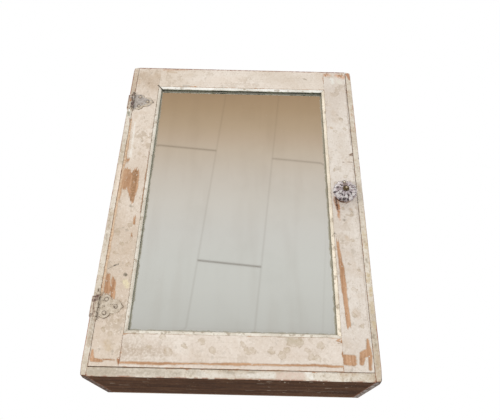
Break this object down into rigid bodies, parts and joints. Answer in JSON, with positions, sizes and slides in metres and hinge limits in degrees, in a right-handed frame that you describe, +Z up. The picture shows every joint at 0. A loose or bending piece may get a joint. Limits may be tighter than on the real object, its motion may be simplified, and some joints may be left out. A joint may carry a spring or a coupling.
{
  "type": "medicine cabinet with mirror",
  "caption": "Shallow wall-hung wooden medicine cabinet with shelves behind an inset mirrored door on ornamental surface hinges, opened by a fluted glass knob.",
  "frame": {"origin": "centre of the cabinet's flat back face, which lies on the wall", "axes": "+Z up, +Y into the wall, -Y out through the door; +X is the knob side of the door and -X the hinge side"},
  "size_m": [0.4099, 0.1895, 0.56],
  "materials": {
    "door_paint": "worn cream oil paint over softwood, with bare patches and mildew",
    "case_paint": "worn cream paint on the front edges, dark aged wood outside",
    "inside_paint": "old satin cream paint",
    "bare_wood": "unfinished aged softwood",
    "backing_wood": "unfinished thin board",
    "mirror": "silvered glass with worn edges",
    "hinge_steel": "tarnished, partly painted over",
    "catch_steel": "dull plated steel",
    "nail_iron": "rusted iron",
    "knob_glass": "clear pressed glass",
    "knob_brass": "tarnished"
  },
  "bodies": {
    "case": {"side_left": "case_paint", "side_right": "case_paint", "top_board": "case_paint", "bottom_board": "case_paint", "back_board_left": "bare_wood", "back_board_centre": "bare_wood", "back_board_right": "bare_wood", "hanging_rail": "bare_wood", "shelf_upper": "inside_paint", "shelf_lower": "inside_paint", "cleat_upper_left": "inside_paint", "cleat_upper_right": "inside_paint", "cleat_lower_left": "inside_paint", "cleat_lower_right": "inside_paint", "nails_side_left": "nail_iron", "nails_side_right": "nail_iron", "nails_back": "nail_iron", "nails_cleats": "nail_iron", "hinge_upper_case_leaf": "hinge_steel", "hinge_lower_case_leaf": "hinge_steel", "hinge_upper_pin": "hinge_steel", "hinge_lower_pin": "hinge_steel", "hinge_upper_case_screws": "hinge_steel", "hinge_lower_case_screws": "hinge_steel", "catch_clip": "catch_steel", "catch_clip_screws": "catch_steel"},
    "door": {"stile_left": "door_paint", "stile_right": "door_paint", "rail_top": "door_paint", "rail_bottom": "door_paint", "bead_left": "door_paint", "bead_right": "door_paint", "bead_top": "door_paint", "bead_bottom": "door_paint", "mirror_glass": "mirror", "mirror_backing": "backing_wood", "mirror_brads": "nail_iron", "corner_brads": "nail_iron", "hinge_upper_door_leaf": "hinge_steel", "hinge_lower_door_leaf": "hinge_steel", "hinge_upper_door_screws": "hinge_steel", "hinge_lower_door_screws": "hinge_steel", "knob_glass": "knob_glass", "knob_bolt": "knob_brass", "knob_washer": "knob_brass", "knob_back_washer": "catch_steel", "knob_nut": "catch_steel", "catch_strike": "catch_steel", "catch_strike_screws": "catch_steel"}
  },
  "joints": [
    {"name": "door_swing", "type": "hinge", "parent": "case", "child": "door", "pos_m": [-0.19575, -0.1608, 0], "axis": [0, 0, -1], "range_deg": [0, 180]}
  ]
}
